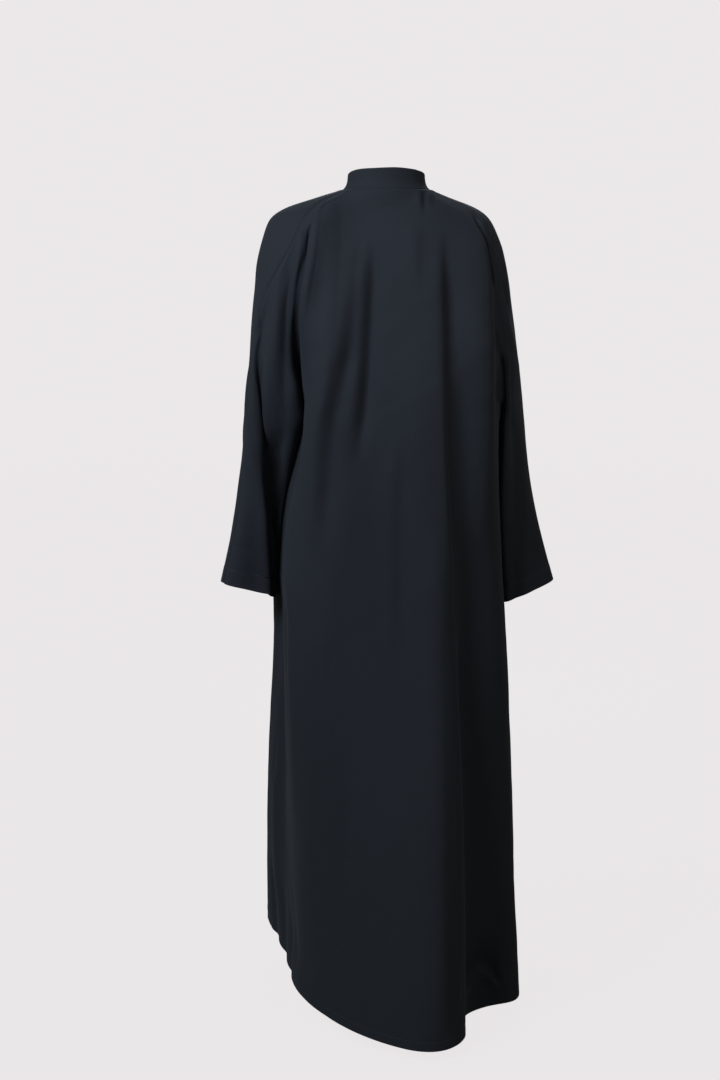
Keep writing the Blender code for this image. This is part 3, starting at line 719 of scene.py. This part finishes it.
def addMesh(name, points, faces, uv, layers):
    # a mesh object from whole arrays, with its flat map and point values
    mesh = bpy.data.meshes.new(name)
    mesh.vertices.add(len(points))
    mesh.vertices.foreach_set("co", np.ascontiguousarray(points, np.float32).ravel())
    mesh.loops.add(faces.size)
    mesh.loops.foreach_set("vertex_index", faces.ravel().astype(np.int32))
    mesh.polygons.add(len(faces))
    mesh.polygons.foreach_set("loop_start", np.arange(0, faces.size, faces.shape[1], dtype=np.int32))
    mesh.polygons.foreach_set("use_smooth", np.ones(len(faces), bool))
    mesh.update(calc_edges=True)
    flat = mesh.uv_layers.new(name="cut")
    flat.data.foreach_set("uv", uv[faces.ravel()].astype(np.float32).ravel())
    for key, data in layers.items():
        layer = mesh.attributes.new(key, "FLOAT", "POINT")
        layer.data.foreach_set("value", data.astype(np.float32))
    mesh.validate()
    thing = bpy.data.objects.new(name, mesh)
    bpy.context.scene.collection.objects.link(thing)
    return thing


def thicken(thing, thickness, doubled):
    # the sheet made solid inward, twice as thick where the hem is doubled
    group = thing.vertex_groups.new(name="doubled")
    for index in np.flatnonzero(doubled).tolist():
        group.add((index,), 1.0, "REPLACE")
    solidify = thing.modifiers.new("thickness", "SOLIDIFY")
    solidify.thickness = 2.0 * thickness
    solidify.offset = -1.0
    solidify.vertex_group = "doubled"
    solidify.thickness_vertex_group = 0.5
    solidify.use_quality_normals = True


panels = {
    "backPanel": {
        "parts": (leftArmBack, back, rightArmBack),
        "node": "back",
        "slot": "crepe_back",
        "crotchShift": -0.0012,  # how far the corner under each arm moves along y
        "flat": (1.01, 1.56),
        "area": 1.144,
    },
    "leftFrontPanel": {
        "parts": (leftChest, leftArmFront),
        "node": "front_left",
        "slot": "crepe_left_front",
        "crotchShift": 0.0012,
        "flat": (0.49, 1.50),
        "area": 0.514,
    },
    "rightFrontPanel": {
        "parts": (rightArmFront, rightChest),
        "node": "front_right",
        "slot": "crepe_right_front",
        "crotchShift": 0.0012,
        "flat": (0.51, 1.52),
        "area": 0.549,
    },
}

necklines = {}
for name, panel in panels.items():
    places, zones, values, faces, topRow = panelGrids(panel["parts"], panel["crotchShift"])
    across, down, _, _, hem, edge = values.T
    normals = normalsOf(places, faces)
    moved = pressedIn(places, normals, zones, values)
    shaped = places + normals * moved[:, None]
    layers = {
        "stitchDistance": np.minimum(np.abs(hem - hemWidths[zones]), farAway),
        "edgeDistance": np.minimum(np.minimum(hem, edge), farAway),
    }
    panel["object"] = addMesh(name, shaped, faces, np.stack((across, -down), axis=1), layers)
    thicken(panel["object"], cloth["thickness"], hem < hemWidths[zones] + cloth["foldedPast"])
    clothArea = 0.5 * np.linalg.norm(diagonalCross(shaped, faces), axis=1).sum()
    necklines[name] = shaped[topRow]
    print(name, len(faces), "faces, cloth", round(clothArea, 3), "square metres")

collar = {
    "thickness": 0.0023,
    "heightBehind": 0.0375,
    "heightFront": 0.0240,
    "power": 0.8,
    "lean": 0.0095,
    "leanReach": 0.30,
    "along": 0.0035,  # length of a face
    "steps": 14,  # rows up each face
    "rounding": 6,  # rows round the top
    "waves": 0.0006,
    "topWaves": (61.0, 17.0, 0.7),  # two waves' turns a metre, in radians, and a shift
    "sideWaves": 43.0,
    "tongue": ((0.0017, 0.0004), (0.0014, 0.0002), (0.0013, 0.0), (0.0006, 0.0)),  # steps in, outer and inner
    "tongueShare": (1.0, 0.9, 0.12, 0.0),
    "tongueDrop": 0.0045,
    "stitchRise": 0.0015,
    "tone": 0.93,
    "flat": (0.506, 0.038),
    "area": 0.0159,
}


def collarProfile():
    # the strip's section from the outer foot over the rounded top to the inner foot: outward
    # from its middle, up as a share of its height, and what the tongue and rounding add to that
    rise = np.linspace(0.0, 1.0, collar["steps"] + 1)
    turn = np.linspace(0.0, math.pi, collar["rounding"] + 1)[1:-1]
    half = 0.5 * collar["thickness"]
    # under the foot a tongue reaches down behind the panels' edge
    tongueIn, tongueOut = np.array(collar["tongue"]).T
    none = np.zeros(len(tongueIn))
    low = collar["tongueDrop"] * np.array(collar["tongueShare"])
    side = np.full(rise.shape, half)
    level = np.zeros(rise.shape)
    outward = np.concatenate((half - tongueIn, side, half * np.cos(turn), -side, tongueOut - half))
    up = np.concatenate((none, rise, np.ones(turn.shape), rise[::-1], none))
    plus = np.concatenate((-low, level, half * np.sin(turn), level, -low[::-1]))
    return outward, up, plus


def neckStrip(line):
    # the strip's section carried along the neckline: outward is the line's direction turned
    # a quarter, and the strip leans in by 1 - exp(-rise / reach), most of it near the foot
    line = line[np.concatenate(([True], np.linalg.norm(np.diff(line, axis=0), axis=1) > 1e-5))]
    run = runLengths(line[None])[0]
    even = np.linspace(0.0, run[-1], int(run[-1] / collar["along"]) + 1)
    points = splineMany(run[None], line[None], even[None])[0]
    ahead = np.gradient(points, axis=0)
    out = unit(np.stack((ahead[:, 1], -ahead[:, 0], np.zeros(len(ahead))), axis=1))
    behind = np.clip(-points[:, 1] / neck["behind"], 0.0, 1.0) ** collar["power"]
    height = collar["heightFront"] + (collar["heightBehind"] - collar["heightFront"]) * behind
    fast, slow, shift = collar["topWaves"]
    height = height + collar["waves"] * np.sin(even * fast) * np.sin(even * slow + shift)
    outward, up, rounding = collarProfile()
    half = 0.5 * collar["thickness"]
    leaning = collar["lean"] * (1.0 - np.exp(-up[:, None] / collar["leanReach"]))
    bulge = collar["waves"] * np.sin(even * collar["sideWaves"]) * up[:, None]
    offset = outward[:, None] - leaning + bulge - half
    lift = up[:, None] * (height - half) + rounding[:, None] - 2.0 * cloth["seamLap"]
    strip = points[None] + out[None] * offset[..., None]
    strip[..., 2] += lift
    return strip, even, up, height


def closedStrip(strip):
    # faces round the closed section and over both ends
    rows, count = strip.shape[:2]
    grid = np.arange(rows * count).reshape(rows, count)
    ring = np.concatenate((grid, grid[:1]))
    sides = quads(ring[::-1])
    half = rows // 2
    left = np.stack((grid[:half, 0], grid[::-1][:half, 0]), axis=1)
    right = np.stack((grid[:half, -1], grid[::-1][:half, -1]), axis=1)
    return np.concatenate((sides, quads(left), quads(right[:, ::-1])))


# the ring starts at the left front edge, goes by the back and ends at the right front edge
neckRow = np.concatenate([necklines[n] for n in ("leftFrontPanel", "backPanel", "rightFrontPanel")])
strip, along, rise, collarHeight = neckStrip(neckRow)
stripFaces = closedStrip(strip)
footEdge = rise[:, None] * collarHeight
topEdge = (1.0 - rise[:, None]) * collarHeight
stripUv = np.stack(np.broadcast_arrays(along, footEdge), axis=-1)
ends = np.minimum(along, along[-1] - along)
collarPiece = addMesh(
    "collarStand",
    strip.reshape(-1, 3),
    stripFaces,
    stripUv.reshape(-1, 2),
    {
        "stitchDistance": np.abs(footEdge - collar["stitchRise"]).reshape(-1),
        "edgeDistance": np.minimum(topEdge, ends).reshape(-1),
    },
)
print("collar", len(stripFaces), "faces")


def feed(tree, socket, value):
    # a link where the value is another node's socket, otherwise the plain value
    if hasattr(value, "links"):
        tree.links.new(value, socket)
    else:
        socket.default_value = value


def addNode(tree, kind, place, **values):
    # a shader node with its settings and what its inputs take
    node = tree.nodes.new(kind)
    node.location = place
    for key, value in values.items():
        if hasattr(node, key):
            setattr(node, key, value)
        else:
            feed(tree, node.inputs[key.replace("_", " ")], value)
    return node


def maths(tree, place, operation, *values):
    # one arithmetic step on sockets or numbers
    node = addNode(tree, "ShaderNodeMath", place, operation=operation)
    for socket, value in zip(node.inputs, values):
        feed(tree, socket, value)
    return node.outputs[0]


def mixed(tree, place, share, first, second):
    # a colour that lies a share of the way from the first to the second
    node = addNode(tree, "ShaderNodeMix", place, data_type="RGBA")
    for index, value in ((0, share), (6, first), (7, second)):
        feed(tree, node.inputs[index], value)
    return node.outputs[2]


def emptied(owner):
    # the node tree of a material or world, with nothing in it yet
    owner.use_nodes = True
    owner.node_tree.nodes.clear()
    return owner.node_tree


crepe = {
    "colour": (0.0222, 0.0288, 0.0405),
    "deep": (0.0180, 0.0233, 0.0326, 1.0),
    "drift": (3.1, 4.0, 0.55),  # a noise's scale, detail and roughness
    "driftShare": 0.65,
    "slub": (95.0, 3.0, 0.6),
    "slubShare": 0.35,
    "roughness": 0.73,
    "slubRoughness": 0.10,
    "sheen": 0.10,
    "sheenRoughness": 0.45,
    "sheenTint": (0.62, 0.74, 0.90, 1.0),
    "specular": 0.28,
    "threads": 2600.0,  # crepe threads a metre
    "threadHeight": 0.22,
    "pebble": (900.0, 2.0, 0.7),
    "bumpDepth": 0.00022,
    "bumpStrength": 0.55,
    "stitchEvery": 0.0034,
    "stitchLength": 0.72,  # share of the stitch that shows
    "stitchWidth": 0.00045,
    "stitchHeight": 1.6,
    "stitchColour": (0.040, 0.046, 0.056, 1.0),
    "stitchShare": 0.6,
    "wornWidth": 0.0012,
    "wornColour": (0.036, 0.042, 0.050, 1.0),
    "wornShare": 0.35,
}


def noise(tree, place, flat, scale, detail, roughness):
    # cloudy values over the flat cloth
    node = addNode(tree, "ShaderNodeTexNoise", place, Vector=flat)
    for key, value in (("Scale", scale), ("Detail", detail), ("Roughness", roughness)):
        node.inputs[key].default_value = value
    return node.outputs[0]


def pointValue(tree, place, name):
    # one of the mesh's point values
    return addNode(tree, "ShaderNodeAttribute", place, attribute_name=name).outputs["Fac"]


def crepeMaterial(name, tone):
    # blue-black crepe: fine crossed threads and pebble as bumps, a slow drift of colour,
    # worn lighter edges and a line of stitches beside each hem
    material = bpy.data.materials.new(name)
    tree = emptied(material)
    flat = addNode(tree, "ShaderNodeUVMap", (-1300, -300), uv_map="cut").outputs[0]
    split = addNode(tree, "ShaderNodeSeparateXYZ", (-1100, -300), Vector=flat)
    across, down = split.outputs[0], split.outputs[1]

    drift = noise(tree, (-900, 300), flat, *crepe["drift"])
    slub = noise(tree, (-900, 80), flat, *crepe["slub"])
    slow = maths(tree, (-700, 300), "MULTIPLY", drift, crepe["driftShare"])
    shade = maths(tree, (-520, 200), "MULTIPLY_ADD", slub, crepe["slubShare"], slow)
    full = tuple(c * tone for c in crepe["colour"]) + (1.0,)
    colour = mixed(tree, (-300, 260), shade, crepe["deep"], full)

    # threads both ways: sine across times sine down, with a fine pebble over them
    turns = crepe["threads"] * 2.0 * math.pi
    wave = maths(tree, (-900, -200), "SINE", maths(tree, (-1000, -200), "MULTIPLY", across, turns))
    weft = maths(tree, (-900, -360), "SINE", maths(tree, (-1000, -360), "MULTIPLY", down, turns))
    weave = maths(tree, (-740, -280), "MULTIPLY", wave, weft)
    pebble = noise(tree, (-900, -520), flat, *crepe["pebble"])
    grain = maths(tree, (-560, -360), "MULTIPLY_ADD", weave, crepe["threadHeight"], pebble)

    # dashes: where the place along the hem is in the first part of a stitch's length and the
    # distance from the stitch line is small
    seat = pointValue(tree, (-1300, -760), "stitchDistance")
    every = maths(tree, (-1100, -700), "DIVIDE", across, crepe["stitchEvery"])
    turn = maths(tree, (-1000, -700), "FRACT", every)
    dash = maths(tree, (-840, -700), "LESS_THAN", turn, crepe["stitchLength"])
    near = maths(tree, (-840, -820), "LESS_THAN", seat, crepe["stitchWidth"])
    stitch = maths(tree, (-680, -760), "MULTIPLY", dash, near)
    sewn = maths(tree, (-240, 60), "MULTIPLY", stitch, crepe["stitchShare"])
    colour = mixed(tree, (-60, 160), sewn, colour, crepe["stitchColour"])
    rim = pointValue(tree, (-1300, -940), "edgeDistance")
    edge = maths(tree, (-840, -940), "LESS_THAN", rim, crepe["wornWidth"])
    pale = maths(tree, (0, -40), "MULTIPLY", edge, crepe["wornShare"])
    colour = mixed(tree, (200, 120), pale, colour, crepe["wornColour"])

    height = maths(tree, (-380, -480), "MULTIPLY_ADD", stitch, crepe["stitchHeight"], grain)
    bump = addNode(tree, "ShaderNodeBump", (300, -260), Height=height)
    bump.inputs["Strength"].default_value = crepe["bumpStrength"]
    bump.inputs["Distance"].default_value = crepe["bumpDepth"]
    rough = maths(tree, (300, -60), "MULTIPLY_ADD", slub, crepe["slubRoughness"], crepe["roughness"])
    shader = addNode(
        tree,
        "ShaderNodeBsdfPrincipled",
        (620, 0),
        Base_Color=colour,
        Roughness=rough,
        Normal=bump.outputs[0],
        Specular_IOR_Level=crepe["specular"],
        Sheen_Weight=crepe["sheen"],
        Sheen_Roughness=crepe["sheenRoughness"],
        Sheen_Tint=crepe["sheenTint"],
    )
    addNode(tree, "ShaderNodeOutputMaterial", (900, 0), Surface=shader.outputs[0])
    return material


for name, panel in panels.items():
    thing = panel["object"]
    thing.data.materials.append(crepeMaterial(name + "Crepe", 1.0))
    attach(thing, "root")
    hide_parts(panel["node"])
collarPiece.data.materials.append(crepeMaterial("collarCrepe", collar["tone"]))
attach(collarPiece, "root")
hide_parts("collar")
print("materials and nodes set")

studio = {
    "backdrop": (0.833, 0.806, 0.815, 1.0),
    "ambient": (0.62, 0.57, 0.47, 1.0),
    "ambientStrength": 0.135,
    "floorHeight": -1.472,
    "floorReach": 14.0,
    "floorRows": (-14.0, -1.0, 1.0, 5.0, 14.0),
    "floorGlow": (0.955, 0.955, 0.965, 0.985, 0.997),
    "floorMatte": (0.050, 0.058),
    "floorSpecks": (6.0, 3.0),  # a noise's scale and detail
    # place, aim, size, power and colour of each lamp
    "lamps": {
        "key": ((-1.28, -1.45, 0.84), (0.0, -0.1, -0.3), 1.1, 28.2, (0.925, 0.985, 1.08)),
        "side": ((0.95, -1.15, 0.75), (0.0, 0.0, -0.3), 1.6, 5.3, (1.0, 0.97, 0.92)),
        "rim": ((-2.3, 0.5, 0.5), (0.0, 0.0, -0.4), 1.2, 3.5, (1.0, 1.0, 1.0)),
        "fill": ((0.4, 2.9, 1.2), (0.0, 0.0, -0.6), 2.2, 26.0, (0.96, 0.98, 1.0)),
    },
    "lens": 66.67,
    "sensor": (24.0, 36.0),
    "cameraPlace": (-0.046, -3.6, -0.12),
    "cameraTilt": 7.96,
}


def floorMaterial():
    # pale floor: mostly an even glow of the backdrop's tone, and a little lit matte so that
    # the hem's soft shadow shows
    material = bpy.data.materials.new("paleFloor")
    tree = emptied(material)
    scale, detail = studio["floorSpecks"]
    speck = addNode(tree, "ShaderNodeTexNoise", (-300, 0), Scale=scale, Detail=detail)
    spot = addNode(tree, "ShaderNodeMapRange", (-100, -100))
    for index, value in zip((0, 3, 4), (speck.outputs[0], *studio["floorMatte"])):
        feed(tree, spot.inputs[index], value)
    matte = addNode(tree, "ShaderNodeBsdfDiffuse", (150, -100), Color=spot.outputs[0])
    level = pointValue(tree, (-100, 200), "glow")
    glow = addNode(tree, "ShaderNodeEmission", (150, 100), Color=studio["backdrop"], Strength=level)
    both = addNode(tree, "ShaderNodeAddShader", (400, 0))
    feed(tree, both.inputs[0], glow.outputs[0])
    feed(tree, both.inputs[1], matte.outputs[0])
    addNode(tree, "ShaderNodeOutputMaterial", (600, 0), Surface=both.outputs[0])
    return material


def addFloor():
    # strips across the view, each with its own glow so that the far end meets the backdrop
    mesh = bpy.data.meshes.new("floor")
    far, z = studio["floorReach"], studio["floorHeight"]
    places = [(x, y, z) for y in studio["floorRows"] for x in (-far, far)]
    strips = [(k, k + 1, k + 3, k + 2) for k in range(0, len(places) - 2, 2)]
    mesh.from_pydata(places, [], strips)
    glow = mesh.attributes.new("glow", "FLOAT", "POINT")
    glow.data.foreach_set("value", np.repeat(studio["floorGlow"], 2).astype(np.float32))
    floor = bpy.data.objects.new("floor", mesh)
    floor.visible_diffuse = False
    floor.visible_glossy = False
    mesh.materials.append(floorMaterial())
    bpy.context.scene.collection.objects.link(floor)


def addLamp(name, place, aim, size, power, colour):
    # a round soft lamp turned from its place toward its aim
    data = bpy.data.lights.new(name, "AREA")
    data.shape = "DISK"
    data.size = size
    data.energy = power
    data.color = colour
    lamp = bpy.data.objects.new(name, data)
    toward = np.array(aim) - np.array(place)
    run = math.hypot(toward[0], toward[1])
    lamp.location = place
    lamp.rotation_euler = (math.atan2(run, -toward[2]), 0.0, math.atan2(-toward[0], toward[1]))
    bpy.context.scene.collection.objects.link(lamp)


def addWorld():
    # the camera sees an even pale backdrop; the cloth gets only a weak warm light from it
    world = bpy.data.worlds.new("paleRoom")
    bpy.context.scene.world = world
    tree = emptied(world)
    seen = addNode(tree, "ShaderNodeBackground", (50, -120), Color=studio["backdrop"])
    soft = addNode(
        tree, "ShaderNodeBackground", (50, 120), Color=studio["ambient"], Strength=studio["ambientStrength"]
    )
    ray = addNode(tree, "ShaderNodeLightPath", (50, 400))
    both = addNode(tree, "ShaderNodeMixShader", (300, 0), Fac=ray.outputs["Is Camera Ray"])
    feed(tree, both.inputs[1], soft.outputs[0])
    feed(tree, both.inputs[2], seen.outputs[0])
    addNode(tree, "ShaderNodeOutputWorld", (500, 0), Surface=both.outputs[0])


def addCamera():
    # looks from behind the wearer along +y, tilted down a little
    data = bpy.data.cameras.new("camera")
    data.sensor_fit = "VERTICAL"
    data.sensor_width, data.sensor_height = studio["sensor"]
    data.lens = studio["lens"]
    camera = bpy.data.objects.new("camera", data)
    camera.location = studio["cameraPlace"]
    camera.rotation_euler = (math.radians(90.0 - studio["cameraTilt"]), 0.0, 0.0)
    bpy.context.scene.collection.objects.link(camera)
    bpy.context.scene.camera = camera


addFloor()
for name, values in studio["lamps"].items():
    addLamp(name, *values)
addWorld()
addCamera()
bpy.context.scene.view_settings.view_transform = "Standard"
print("floor, lamps and camera placed")
